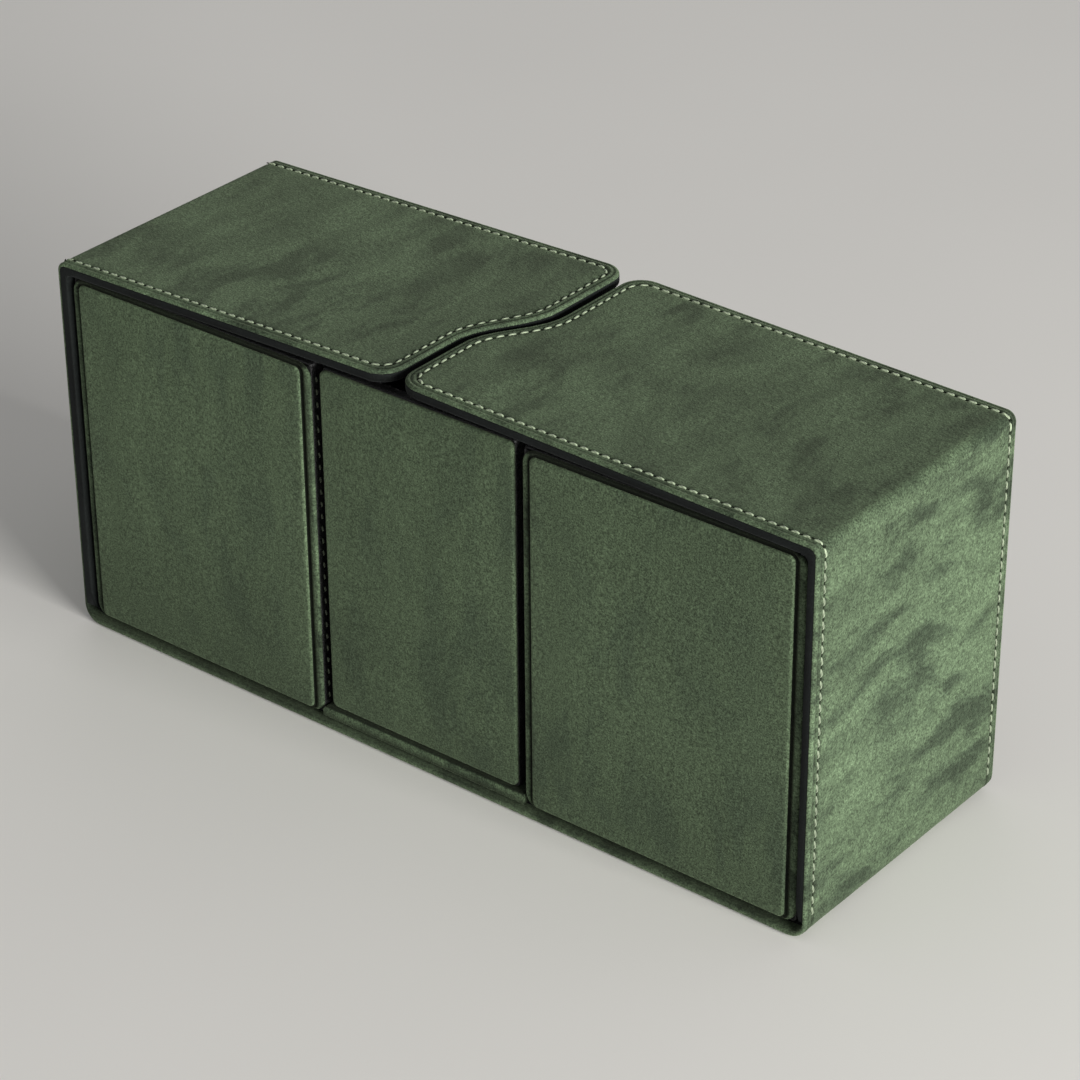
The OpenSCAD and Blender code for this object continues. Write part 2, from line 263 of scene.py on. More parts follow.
def suede(name, tint, streak_axis, contrast, grain, edge_rub_and_highlight):
    """Brushed suede: lying nap in long streaks, cloudy mottling and fine fibres, with edges lightened partly
    as rubbed nap and partly as painted highlight, and painted shade in grooves, creases and hidden corners
    and towards the floor.
    """
    recipe = Recipe(
        name, 0.92, Sheen_Weight=0.26, Sheen_Roughness=0.42,
        Sheen_Tint=rgba((0.62, 0.78, 0.50)), Specular_IOR_Level=0.16,
    )
    place = recipe.place()
    warp = recipe.node("TexNoise", {"Vector": place, "Scale": 22.0, "Detail": 1.0}, "Color")
    bent = recipe.node("VectorMath", {0: warp, 1: (0.018,) * 3, 2: place}, operation="MULTIPLY_ADD")
    streaks = recipe.noise(recipe.stretched(bent, streak_axis), 105.0, 4.0, 0.6)
    clouds = recipe.noise(place, 26.0, 3.0, 0.55)
    patches = recipe.noise(bent, 13.0, 2.0, 0.5)
    height_up = recipe.node("SeparateXYZ", {"Vector": place}, "Z")
    fibres = recipe.noise(place, 2100.0, 2.0, 0.6)
    tufts = recipe.noise(place, 700.0, 2.0, 0.6)
    lying = recipe.product(
        recipe.spread(streaks, 0.55, 0.37), recipe.spread(clouds, 0.38, 0.60, 0.25, 1.0),
    )
    standing = recipe.product(
        recipe.spread(streaks, 0.50, 0.66), recipe.spread(clouds, 0.60, 0.45, 0.3, 1.0),
    )
    warm = recipe.mixed(lying, rgba(tint), rgba((tint[0] * 0.92, tint[1] * 0.93, tint[2] * 0.98)))
    recipe.paint(
        warm,
        (lying, 0.0, 1.0, 1.0, 1 - contrast),
        (standing, 0.0, 1.0, 1.0, 1 + contrast * 0.45),
        recipe.spread(patches, 0.36, 0.62, 1 - contrast * 0.26, 1 + contrast * 0.2),
        # painted shade: the suede darkens towards the floor, where less light reaches it
        recipe.spread(height_up, 0.0, 0.06, 0.80, 1.0),
        (fibres, 0.32, 0.68, 1 - grain, 1 + grain * 1.1),
        (tufts, 0.32, 0.68, 1 - grain * 0.35, 1 + grain * 0.38),
        # edges lighter: partly rubbed nap, partly painted highlight on the rounded edges
        (recipe.mark("edge"), 0.0, 1.0, 1.0, edge_rub_and_highlight),
        # painted shade: the seam mark darkens grooves, creases, the strip under a flap and hidden feet
        # almost to black
        (recipe.mark("seam"), 0.0, 1.6, 1.0, 0.05),
    )
    height = recipe.maths("ADD", recipe.product(fibres, 0.6), recipe.product(tufts, 0.9))
    recipe.bump(height, 0.00025, 0.9)
    return recipe.material


def brushed_lining(tint):
    recipe = Recipe(
        "charcoal_lining", 0.85, Sheen_Weight=0.05, Sheen_Roughness=0.45,
        Sheen_Tint=rgba((0.7, 0.75, 0.78)), Specular_IOR_Level=0.12,
    )
    place = recipe.place()
    clouds = recipe.noise(place, 45.0, 3.0, 0.6)
    fibres = recipe.noise(recipe.stretched(place, (1.0, 0.6, 1.0)), 1800.0, 3.0, 0.7)
    rubbing = recipe.noise(recipe.stretched(place, (0.35, 1.0, 0.5)), 240.0, 3.0, 0.6)
    scuffs = recipe.spread(rubbing, 0.66, 0.74)
    recipe.paint(
        tint,
        (clouds, 0.3, 0.7, 0.85, 1.15),
        (fibres, 0.25, 0.75, 0.65, 1.4),
        (scuffs, 0.0, 1.0, 1.0, 1.6),
        # painted shade: the lining darkens on its rounded edges, so its band reads lit above and shadowed
        # below
        (recipe.mark("edge"), 0.2, 1.0, 1.15, 0.35),
    )
    recipe.bump(fibres, 0.00015, 0.7)
    return recipe.material


def grained_leatherette(tint):
    recipe = Recipe(
        "black_leatherette", 0.5, Specular_IOR_Level=0.4, Coat_Weight=0.08, Coat_Roughness=0.35,
    )
    place = recipe.place()
    cells = recipe.node(
        "TexVoronoi", {"Vector": place, "Scale": 900.0, "Randomness": 1.0}, "Distance",
        feature="DISTANCE_TO_EDGE",
    )
    pebbles = recipe.spread(cells, 0.0, 0.22)
    waves = recipe.noise(place, 160.0, 3.0, 0.55)
    recipe.paint(tint, (pebbles, 0.0, 1.0, 0.55, 1.15), (waves, 0.3, 0.7, 0.85, 1.2))
    recipe.roughen(recipe.vary(waves, 0.3, 0.7, 0.42, 0.6))
    recipe.bump(recipe.maths("ADD", pebbles, waves), 0.00012, 0.8)
    return recipe.material


def plush_microfibre(tint):
    recipe = Recipe(
        "microfibre", 0.95, Sheen_Weight=0.35, Sheen_Roughness=0.5,
        Sheen_Tint=rgba((0.8, 0.82, 0.88)), Specular_IOR_Level=0.1,
    )
    place = recipe.place()
    clouds = recipe.noise(place, 60.0, 4.0, 0.6)
    fibres = recipe.noise(place, 2200.0, 3.0, 0.7)
    recipe.paint(tint, (clouds, 0.3, 0.7, 0.8, 1.18), (fibres, 0.25, 0.75, 0.7, 1.3))
    recipe.bump(fibres, 0.00018, 0.8)
    return recipe.material


def spun_thread(name, tint):
    """Two-ply sewing thread, with painted light and shade across its plies: lighter on their crests, darker
    in the grooves between them.
    """
    recipe = Recipe(name, 0.6, Sheen_Weight=0.25, Sheen_Roughness=0.35, Specular_IOR_Level=0.35)
    place = recipe.place()
    fuzz = recipe.noise(place, 2600.0, 3.0, 0.7)
    worn = recipe.noise(place, 90.0, 2.0, 0.5)
    recipe.paint(
        tint,
        (recipe.mark("ply"), 0.0, 1.0, 0.62, 1.12),
        (fuzz, 0.25, 0.75, 0.8, 1.2),
        (worn, 0.3, 0.7, 0.85, 1.12),
    )
    recipe.bump(fuzz, 0.00006, 0.6)
    return recipe.material


# painted shade: near-black suede on small discs that stand in for the shadow in the needle holes
def needle_hole(tint):
    recipe = Recipe("needle_hole", 0.95, Specular_IOR_Level=0.05)
    fuzz = recipe.noise(recipe.place(), 2600.0, 2.0, 0.6)
    recipe.paint(rgba(tint, 0.16), (fuzz, 0.25, 0.75, 0.7, 1.4))
    recipe.bump(fuzz, 0.0001, 0.6)
    return recipe.material


def pressed_board(tint):
    recipe = Recipe("greyboard", 0.9, Specular_IOR_Level=0.2)
    place = recipe.cad_place()
    flecks = recipe.noise(recipe.stretched(place, (1.0, 1.0, 2.2)), 900.0, 4.0, 0.75)
    layers = recipe.noise(recipe.stretched(place, (0.2, 0.2, 1.0)), 2600.0, 2.0, 0.6)
    recipe.paint(tint, (flecks, 0.25, 0.75, 0.72, 1.25), (layers, 0.25, 0.75, 0.85, 1.12))
    recipe.bump(flecks, 0.0001, 0.6)
    return recipe.material


def bound_board(name, board, binding):
    """Greyboard with black binding paper over its front, back and upper faces."""
    recipe = Recipe(name, 0.8, Specular_IOR_Level=0.25)
    across = recipe.node("TexCoord", {}, "Generated")
    flecks = recipe.noise(recipe.cad_place(), 900.0, 4.0, 0.75)
    depth = recipe.node("SeparateXYZ", {"Vector": across}, "Y")
    rise = recipe.node("SeparateXYZ", {"Vector": across}, "Z")
    from_middle = recipe.maths("ABSOLUTE", recipe.maths("SUBTRACT", depth, 0.5), 0.0)
    at_end = recipe.maths("GREATER_THAN", from_middle, 0.49)
    at_top = recipe.maths("GREATER_THAN", rise, 0.985)
    tint = recipe.mixed(recipe.maths("MAXIMUM", at_end, at_top), rgba(board), rgba(binding))
    recipe.paint(tint, (flecks, 0.25, 0.75, 0.72, 1.25))
    recipe.bump(flecks, 0.0001, 0.6)
    return recipe.material


def nickel_plate(tint):
    recipe = Recipe("magnet_nickel", 0.28, Metallic=1.0)
    place = recipe.cad_place()
    smears = recipe.noise(place, 300.0, 3.0, 0.6)
    scratches = recipe.noise(recipe.stretched(place, (0.08, 1.0, 1.0)), 2400.0, 2.0, 0.5)
    recipe.paint(tint, (smears, 0.3, 0.7, 0.85, 1.08))
    recipe.roughen(recipe.vary(smears, 0.3, 0.7, 0.2, 0.42))
    recipe.bump(scratches, 0.00002, 0.4)
    return recipe.material


def studio_floor(tint):
    recipe = Recipe("studio_floor", 0.75, Specular_IOR_Level=0.2)
    haze = recipe.noise(recipe.cad_place(), 6.0, 2.0, 0.5)
    recipe.paint(tint, (haze, 0.3, 0.7, 0.985, 1.01))
    return recipe.material


def finish_named(name):
    """The material of that name, made the first time it is asked for."""
    ready = bpy.data.materials.get(name + "_finish")
    if ready is not None:
        return ready
    finish = bpy.context.scene.deckbox_finish
    makers = {
        "green_suede": lambda: suede(
            "green_suede", finish.suede, (1.0, 0.34, 1.0), finish.nap_contrast, 0.60, 1.45),
        "raised_suede": lambda: suede(
            "raised_suede", finish.raised_suede, (1.0, 1.0, 0.3), finish.nap_contrast * 0.3, 0.52, 1.35),
        "charcoal_lining": lambda: brushed_lining(finish.charcoal),
        "black_leatherette": lambda: grained_leatherette(finish.leatherette),
        "microfibre": lambda: plush_microfibre(finish.microfibre),
        "thread": lambda: spun_thread("thread", finish.thread),
        # painted shade: a darker copy of the thread for the wall stitches, so they read less lit than those
        # on the flaps
        "wall_thread": lambda: spun_thread("wall_thread", [c * 0.62 for c in finish.thread]),
        "grey_thread": lambda: spun_thread("grey_thread", [c * 0.42 for c in finish.thread]),
        "needle_hole": lambda: needle_hole(finish.suede),
        "greyboard": lambda: pressed_board(finish.greyboard),
        "bound_board": lambda: bound_board("bound_board", finish.greyboard, finish.leatherette),
        "magnet": lambda: nickel_plate(finish.nickel),
        "studio_floor": lambda: studio_floor(bpy.context.scene.deckbox_studio.floor),
    }
    material = makers[name]()
    material.name = name + "_finish"
    return material


# ---------- meshes ----------

def make_object(name, points, faces, finishes, marks=None, face_finish=None):
    """Builds a mesh object whose points know their rest place, and whose crisp edges stay crisp."""
    mesh = bpy.data.meshes.new(name)
    mesh.from_pydata(np.asarray(points).tolist(), [], faces)
    shape = bmesh.new()
    shape.from_mesh(mesh)
    bmesh.ops.recalc_face_normals(shape, faces=shape.faces)
    shape.to_mesh(mesh)
    shape.free()
    rest = mesh.attributes.new("rest_place", "FLOAT_VECTOR", "POINT")
    rest.data.foreach_set("vector", np.asarray(points, np.float32).ravel())
    for mark, values in (marks or {}).items():
        layer = mesh.attributes.new(mark, "FLOAT", "POINT")
        layer.data.foreach_set("value", np.asarray(values, np.float32).ravel())
    for finish in finishes:
        mesh.materials.append(finish_named(finish))
    if face_finish is not None:
        mesh.polygons.foreach_set("material_index", np.asarray(face_finish, np.int32))
    mesh.shade_smooth()
    mesh.set_sharp_from_angle(angle=radians(48))
    made = bpy.data.objects.new(name, mesh)
    bpy.context.scene.collection.objects.link(made)
    return made


def smooth_step(value):
    value = np.clip(value, 0.0, 1.0)
    return value * value * (3 - 2 * value)


def edge_fall(reach, radius):
    """How far a rounded edge falls away, from the distance to the edge."""
    short = radius - np.clip(reach, 0.0, radius)
    return radius - np.sqrt(np.maximum(radius ** 2 - short ** 2, 0.0))


def hand_made(points, height):
    """A slow, slight unevenness over a surface, the same in every run."""
    x, y, z = (points[..., k] / MM for k in range(3))
    waves = (
        np.sin(0.083 * x + 0.051 * y + 0.8) * np.sin(0.071 * z - 0.062 * y + 0.3)
        + 0.6 * np.sin(0.19 * x - 0.13 * y + 2.1) * np.cos(0.17 * z + 0.15 * y + 1.1)
        + 0.35 * np.sin(0.41 * x + 0.37 * y + 0.39 * z)
    )
    return height * waves / 1.5


def closed_faces(rows, columns):
    """Faces of a closed sheet: an outer grid, an inner grid and the rim that joins them."""
    index = np.arange(rows * columns).reshape(rows, columns)

    def quads(grid):
        return np.stack([grid[:-1, :-1], grid[1:, :-1], grid[1:, 1:], grid[:-1, 1:]], -1).reshape(-1, 4)

    rim = np.concatenate([index[0, :-1], index[:-1, -1], index[-1, :0:-1], index[:0:-1, 0]])
    ahead = np.roll(rim, -1)
    size = rows * columns
    sides = np.stack([rim, ahead, ahead + size, rim + size], -1)
    return np.concatenate([quads(index), quads(index + size)[:, ::-1], sides]).tolist()


def stitched(reach):
    """How far the stitching pulls the suede in, and how much painted shade darkens the stitch groove and the
    crease.
    """
    shape = bpy.context.scene.deckbox_shape
    seam = np.exp(-(((reach - shape.stitch_inset) / (0.55 * MM)) ** 2))
    crease = np.exp(-(((reach - shape.crease_inset) / (0.28 * MM)) ** 2))
    swell = smooth_step((reach - shape.crease_inset) / MM)
    swell = swell * (1 - smooth_step((reach - 2.4 * MM) / (0.6 * MM)))
    fall = shape.stitch_groove * seam + shape.crease_depth * crease - 0.12 * MM * swell
    return fall, np.clip(seam + 0.7 * crease, 0, 1)


def sheet_object(name, outer, inner, reach, finish, outer_round, inner_round=0.2 * MM, sunk=None,
                 uneven=0.0, foot_shade=0.0):
    """A closed sheet between two grids of points, rounded where reach, the way to its edge, is short."""
    across = outer - inner
    across = across / np.linalg.norm(across, axis=2, keepdims=True)
    fall = edge_fall(reach, outer_round)
    seam = np.zeros(reach.shape)
    if sunk is not None:
        fall = fall + sunk[0]
        seam = sunk[1]
    if uneven:
        fall = fall + hand_made(outer, uneven) * smooth_step(reach / (4 * MM))
    top = outer - across * fall[..., None]
    under = inner + across * edge_fall(reach, inner_round)[..., None]
    edge = 1 - smooth_step(reach / (1.25 * outer_round))
    # worn lightens the suede's rounded edges, partly as rubbed nap and partly as painted highlight, and
    # darkens the lining's edges as painted shade
    worn = np.clip(edge * (0.75 + hand_made(outer, 0.45)), 0, 1)
    marks = {
        "edge": np.concatenate([worn.ravel(), edge.ravel() * 0.3 * (1 - foot_shade)]),
        # the seam mark is painted shade: stitch grooves, creases and other shaded strips, and the hidden
        # face by foot_shade
        "seam": np.concatenate([seam.ravel(), np.full(seam.size, foot_shade)]),
    }
    points = np.concatenate([top.reshape(-1, 3), under.reshape(-1, 3)])
    return make_object(name, points, closed_faces(*outer.shape[:2]), [finish], marks)


def cover_sheet(name, outer, inner, reach, **more):
    """A sewn sheet of the wrap's green suede."""
    radius = bpy.context.scene.deckbox_shape.cover_round
    return sheet_object(name, outer, inner, reach, "green_suede", radius, sunk=stitched(reach), **more)


def lining_sheet(name, outer, inner, reach, share=0.5, inner_round=0.15 * MM, **more):
    """A sheet of the charcoal lining, with a share of the full radius on its edge."""
    radius = bpy.context.scene.deckbox_shape.lining_round * share
    return sheet_object(name, outer, inner, reach, "charcoal_lining", radius, inner_round, **more)


def edge_insets(radius):
    """Distances in from an edge at which a sheet needs a grid line."""
    arc = [radius * (1 - cos(radians(a))) for a in (0, 18, 36, 54, 72, 90)]
    near = (1.05, 1.2, 1.35, 1.5, 1.7, 2.0, 2.35, 2.6, 2.8, 3.0, 3.2, 3.4, 3.7,
            4.4, 5.3, 6.3, 7.3, 8.7, 10.7, 13.0)
    return arc + [d * MM for d in near]


def between_edges(low, high, radius, step=4 * MM):
    """Grid lines from one free edge to the other, bunched at both."""
    insets = np.array([d for d in edge_insets(radius) if d < (high - low) * 0.45])
    inner_low, inner_high = low + insets[-1], high - insets[-1]
    count = max(int(round((inner_high - inner_low) / step)), 1)
    middle = np.linspace(inner_low, inner_high, count + 1)[1:-1]
    return np.concatenate([low + insets, middle, (high - insets)[::-1]])


def depth_lines():
    return between_edges(-HALF_D, HALF_D, bpy.context.scene.deckbox_shape.cover_round)


def swept(profile, lines):
    """Sweeps points drawn in X and Z along Y: one row for each point."""
    rows = np.zeros((len(profile), len(lines), 3))
    rows[..., 0] = profile[:, :1]
    rows[..., 1] = lines[None, :]
    rows[..., 2] = profile[:, 1:]
    return rows


def cradle_path(half_width, floor_z, top_z, corner, joint_z):
    """A U drawn in X and Z from its left top to its right top. joint_z is where its corner starts."""
    wall = np.linspace(top_z, joint_z, 24)[:-1]
    corner_z = floor_z + corner
    wall = np.where(wall > corner_z, wall, corner_z + (wall - joint_z) * 0.01)
    angles = np.linspace(pi, 1.5 * pi, 10)
    centre_x = -half_width + corner
    arc = np.stack([centre_x + corner * np.cos(angles), corner_z + corner * np.sin(angles)], -1)
    floor_x = np.linspace(centre_x, -centre_x, 42)[1:-1]
    left = np.concatenate([np.stack([np.full(len(wall), -half_width), wall], -1), arc])
    floor = np.stack([floor_x, np.full(len(floor_x), floor_z)], -1)
    right = left[::-1] * (-1, 1)
    return np.concatenate([left, floor, right])


def rounded_loop(half_x, half_y, radius, z, steps=6):
    radius = max(min(radius, half_x * 0.9, half_y * 0.9), 0.02 * MM)
    loop = []
    for quarter in range(4):
        for step in range(steps + 1):
            a = pi / 2 * (quarter + step / steps)
            x = (half_x - radius) * (1 if quarter in (0, 3) else -1)
            y = (half_y - radius) * (1 if quarter in (0, 1) else -1)
            loop.append((x + radius * cos(a), y + radius * sin(a), z))
    return loop


def lofted(name, loops, centre_x, finish, ring=False):
    """Joins rounded rectangles, (half x, half y, radius, z), into a closed tub or a closed ring."""
    rows = [rounded_loop(*loop) for loop in loops]
    size = len(rows[0])
    points = np.array(rows).reshape(-1, 3)
    points[:, 0] += centre_x
    index = np.arange(len(points)).reshape(-1, size).tolist()
    faces = [] if ring else [index[0][::-1], index[-1]]
    for a, b in zip(index, index[1:] + index[:1] if ring else index[1:]):
        faces += [[a[k - 1], a[k], b[k], b[k - 1]] for k in (*range(1, size), 0)]
    blank = np.zeros(len(points))
    return make_object(name, points, faces, [finish], {"edge": blank, "seam": blank})


def settle(piece, body=None, node=None):
    """Says which body a piece rides and which node of the frame it replaces."""
    if body:
        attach(piece, body)
    if node:
        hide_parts(node)


# ---------- the flaps' outline, drawn from the hinge axis ----------

def split_at(y):
    part = np.clip((y + HALF_D - BEND_START) / (BEND_END - BEND_START), 0, 1)
    return SPLIT_FRONT + (SPLIT_BACK - SPLIT_FRONT) * (1 - np.cos(pi * part)) / 2


def split_slope(y):
    step = 0.1 * MM
    return (split_at(y + step) - split_at(y - step)) / (2 * step)


def tip_at(y, side, inset=0.0):
    return HALF_W - side * split_at(y) - FLAP_GAP / 2 - inset * np.sqrt(1 + split_slope(y) ** 2)


def flap_outline(side, inset, corner_steps=14):
    """The flap's free outline from the root's front corner round to its back corner."""
    radius = bpy.context.scene.deckbox_shape.flap_corner - inset / 2
    edge = HALF_D - inset
    points = [(HINGE_GAP, -edge)]
    front_x = tip_at(-edge, side, inset) - radius
    back_x = tip_at(edge, side, inset) - radius
    for a in np.linspace(-pi / 2, 0, corner_steps):
        points.append((front_x + radius * cos(a), -edge + radius + radius * sin(a)))
    for y in np.linspace(-edge + radius, edge - radius, 60)[1:-1]:
        points.append((float(tip_at(y, side, inset)), y))
    for a in np.linspace(0, pi / 2, corner_steps):
        points.append((back_x + radius * cos(a), edge - radius + radius * sin(a)))
    points.append((HINGE_GAP, edge))
    return np.array(points)


def way_to(outline, u, v):
    """Distance from each grid point to the outline."""
    near = np.full(u.shape, 1.0)
    for (ax, ay), (bx, by) in zip(outline[:-1], outline[1:]):
        dx, dy = bx - ax, by - ay
        t = np.clip(((u - ax) * dx + (v - ay) * dy) / (dx * dx + dy * dy), 0, 1)
        near = np.minimum(near, np.hypot(u - ax - t * dx, v - ay - t * dy))
    return near


def flap_grid(side):
    """Grid over a flap, in distance from the hinge axis and in Y, and each point's way to the edge."""
    shape = bpy.context.scene.deckbox_shape
    lines = depth_lines()
    outline = flap_outline(side, 0.0)
    body = outline[1:-1]
    tips = np.interp(lines, body[:, 1], body[:, 0])
    tips[0], tips[-1] = body[0, 0], body[-1, 0]
    lean = np.minimum(np.sqrt(1 + np.gradient(tips, lines) ** 2), 1.6)
    insets = np.array(edge_insets(shape.cover_round))[::-1]
    last = tips - insets[0] * lean
    root_part = np.linspace(0, 1, 26)[:-1]
    rows = [HINGE_GAP + (last - HINGE_GAP) * part for part in root_part]
    rows += [tips - inset * lean for inset in insets]
    u = np.array(rows)
    v = np.broadcast_to(lines, u.shape)
    return u, v, way_to(outline, u, v)


def on_hinge(side, u, y, h):
    """Places a closed flap's points, which are u from the hinge axis and h above the top face."""
    rise = FLAP_RISE[side]
    x = u * np.cos(rise) - h * np.sin(rise)
    z = u * np.sin(rise) + h * np.cos(rise)
    return np.stack([side * (HALF_W - x), y + 0 * x, HINGE_Z + z], -1)


# ---------- the wrap ----------

def hinge_section(side):
    """The three layers' faces round one top corner, in X from the outside and Z from the hinge axis.

    The outer face comes with the way out at each of its points.
    """
    rise = FLAP_RISE[side]
    turned = pi / 2 + rise
    below = HINGE_BEND / tan(turned / 2)
    angles = np.concatenate([[pi] * 3, np.linspace(pi, turned, 15)[1:-1], [turned] * 3])
    out = np.stack([np.cos(angles), np.sin(angles)], -1)
    slide = np.zeros(len(angles))
    slide[:3] = np.linspace(HINGE_GAP - below, 0, 3)
    slide[-3:] = np.linspace(0, HINGE_GAP - below, 3)
    way = np.array([cos(rise), sin(rise)])
    along = np.where(np.arange(len(angles))[:, None] < 3, (0.0, -1.0), way)

    def face(radius):
        return np.array([HINGE_BEND, -below]) + radius * out + slide[:, None] * along

    wall_x = COVER_T + WALL_LINING_T
    root = HINGE_GAP * way + FLAP_T * np.array([sin(rise), -cos(rise)])
    knee = root - way * (root[0] - wall_x) / way[0]
    fillet = 1.3 * MM
    start = knee - (0, fillet / tan(turned / 2))
    centre = start + (fillet, 0)
    inner = centre + fillet * out
    thirds = np.array([0, 1 / 3, 2 / 3])[:, None]
    inner[:3] = np.array([wall_x, -HINGE_GAP]) * (1 - thirds) + inner[3] * thirds
    inner[-3:] = root * (1 - thirds[::-1]) + inner[-4] * thirds[::-1]
    return face(HINGE_BEND), face(HINGE_BEND - COVER_T), inner, out


def hinge_blend(piece):
    """Bakes a hinge piece's placement into its mesh."""
    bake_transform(piece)


class DECKBOX_OT_wrap(Operator):
    """Makes the suede cover, the charcoal lining and the centre platform of the wrap."""

    bl_idname = "deckbox.wrap"
    bl_label = "Wrap"

    FLOOR_SET_BACK = 3 * MM

    def execute(self, context):
        lines = depth_lines()
        corner_start = WRAP_CORNER + 0.3 * MM
        outer = swept(cradle_path(HALF_W, 0.0, WALL_TOP, WRAP_CORNER, corner_start), lines)
        middle = swept(cradle_path(LINING_X, FLOOR_T, WALL_TOP, WRAP_LINING_CORNER, corner_start), lines)
        inner_x, inner_z = LINING_X - WALL_LINING_T, FLOOR_T + FLOOR_LINING_T
        inner = swept(cradle_path(inner_x, inner_z, WALL_TOP, WRAP_INNER_CORNER, corner_start), lines)
        cover_inner = middle.copy()
        for layer in (inner, middle):
            low = 1 - smooth_step((layer[..., 2] - FLOOR_T - 1 * MM) / (3 * MM))
            layer[..., 1] *= 1 - low * self.FLOOR_SET_BACK / HALF_D
        reach = np.broadcast_to(HALF_D - np.abs(lines), outer.shape[:2])
        cover = cover_sheet("wrap_cover", outer, cover_inner, reach, uneven=0.07 * MM, foot_shade=0.7)
        settle(cover, "base", "base_cover")
        lining = lining_sheet("wrap_lining", inner, middle, reach, uneven=0.04 * MM)
        settle(lining, "base", "base_lining")
        self.platform()
        return {"FINISHED"}

    def platform(self):
        low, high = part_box("centre_platform")
        x = between_edges(low.x, high.x, 0.6 * MM, 5 * MM)
        y = between_edges(low.y, high.y, 1.1 * MM, 5 * MM)
        u, v = np.meshgrid(x, y, indexing="ij")
        reach = np.minimum(high.x - np.abs(u), high.y - np.abs(v))
        top = np.stack([u, v, np.full(u.shape, high.z)], -1)
        foot = np.stack([u, v, np.full(u.shape, low.z)], -1)
        shade = 1.5 * smooth_step((reach - 0.15 * MM) / (0.4 * MM)) * (1 - smooth_step(reach / (9 * MM)))
        platform = sheet_object(
            "tray_platform", top, foot, reach, "green_suede", 1.0 * MM, 0.5 * MM,
            sunk=(np.zeros(reach.shape), shade), uneven=0.06 * MM, foot_shade=1.0,
        )
        settle(platform, "base", "centre_platform")


class DECKBOX_OT_hinges(Operator):
    """Makes the suede and lining strips that turn round the two top corners."""

    bl_idname = "deckbox.hinges"
    bl_label = "Hinge strips"

    def execute(self, context):
        lines = depth_lines()
        for side, name in SIDE_NAMES.items():
            faces = []
            for section in hinge_section(side)[:3]:
                profile = np.stack([side * (HALF_W - section[:, 0]), HINGE_Z + section[:, 1]], -1)
                faces.append(swept(profile, lines))
            reach = np.broadcast_to(HALF_D - np.abs(lines), faces[0].shape[:2])
            cover = cover_sheet(name + "_hinge_cover", faces[0], faces[1], reach)
            hinge_blend(cover)
            settle(cover, node=name + "_hinge")
            lining = lining_sheet(name + "_hinge_lining", faces[2], faces[1], reach)
            hinge_blend(lining)
            settle(lining)
        return {"FINISHED"}


class DECKBOX_OT_flaps(Operator):
    """Makes the suede covers and charcoal linings of the two top flaps."""

    bl_idname = "deckbox.flaps"
    bl_label = "Top flaps"

    def execute(self, context):
        for side, name in SIDE_NAMES.items():
            u, y, reach = flap_grid(side)
            body = name + "_flap"
            top, middle, under = (on_hinge(side, u, y, -depth) for depth in (0.0, COVER_T, FLAP_T))
            cover = cover_sheet(body + "_suede", top, middle, reach)
            settle(cover, body, body + "_cover")
            lining = lining_sheet(body + "_charcoal", under, middle, reach, 1.0, 0.3 * MM)
            settle(lining, body, body + "_lining")
        return {"FINISHED"}


# ---------- deck boxes and tray ----------

def inside_plate(u, z, width, z0, z1, corner):
    """Way in from the outline of a rounded plate that stands in X and Z, less than zero outside it."""
    qx = np.abs(u) - (width / 2 - corner)
    qz = np.abs(z - (z0 + z1) / 2) - ((z1 - z0) / 2 - corner)
    return corner - np.hypot(np.maximum(qx, 0), np.maximum(qz, 0)) - np.minimum(np.maximum(qx, qz), 0)


def plate_grid(width, z0, z1, corner, radius):
    """Grid over a rounded plate, and each point's way to its edge."""
    half = width / 2
    x = between_edges(-half, half, radius)
    short = np.clip(np.abs(x) - (half - corner), 0, corner)
    cut = corner - np.sqrt(np.maximum(corner ** 2 - short ** 2, 0))
    part = (between_edges(z0, z1, radius) - z0) / (z1 - z0)
    z = (z0 + cut)[None, :] + part[:, None] * (z1 - z0 - 2 * cut)[None, :]
    u = np.broadcast_to(x, z.shape)
    return u, z, np.maximum(inside_plate(u, z, width, z0, z1, corner), 0)


def plate_object(name, node, face, corner, finish, outer_round, inner_round, crown, raised=None, lift=0.0):
    """An upholstered plate in a node's place.

    raised is the node of the pad that is pressed into it, and lift is how far its foot is off the node's.
    """
    low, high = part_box(node)
    centre_x = (low.x + high.x) / 2
    y_in, y_out = sorted((abs(low.y), abs(high.y)))
    u, z, reach = plate_grid(high.x - low.x, low.z + lift, high.z, corner, outer_round)
    sunk = None
    if raised:
        low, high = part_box(raised)
        way = inside_plate(u, z, high.x - low.x, low.z, high.z, PAD_CORNER)
        # The groove round the pad is sunk into the margin; painted shade darkens it, and a painted shadow of
        # the flap darkens the strip above the pad.
        line = np.exp(-(((way + 0.35 * MM) / (0.62 * MM)) ** 2))
        dark = np.exp(-(((way + 0.35 * MM) / (0.85 * MM)) ** 4))
        flap_shadow = smooth_step((z - high.z + 0.3 * MM) / (0.8 * MM))
        sunk = 0.5 * MM * line, np.clip(1.8 * dark + 1.5 * flap_shadow, 0, 1.6)
    swell = crown * smooth_step(reach / (16 * MM)) + 0.06 * MM * smooth_step(reach / (3 * MM))
    front = np.stack([centre_x + u, face * (y_out + swell), z], -1)
    back = np.stack([centre_x + u, np.full(u.shape, face * y_in), z], -1)
    return sheet_object(
        name, front, back, reach, finish, outer_round, inner_round, sunk, 0.05 * MM, foot_shade=1.2,
    )


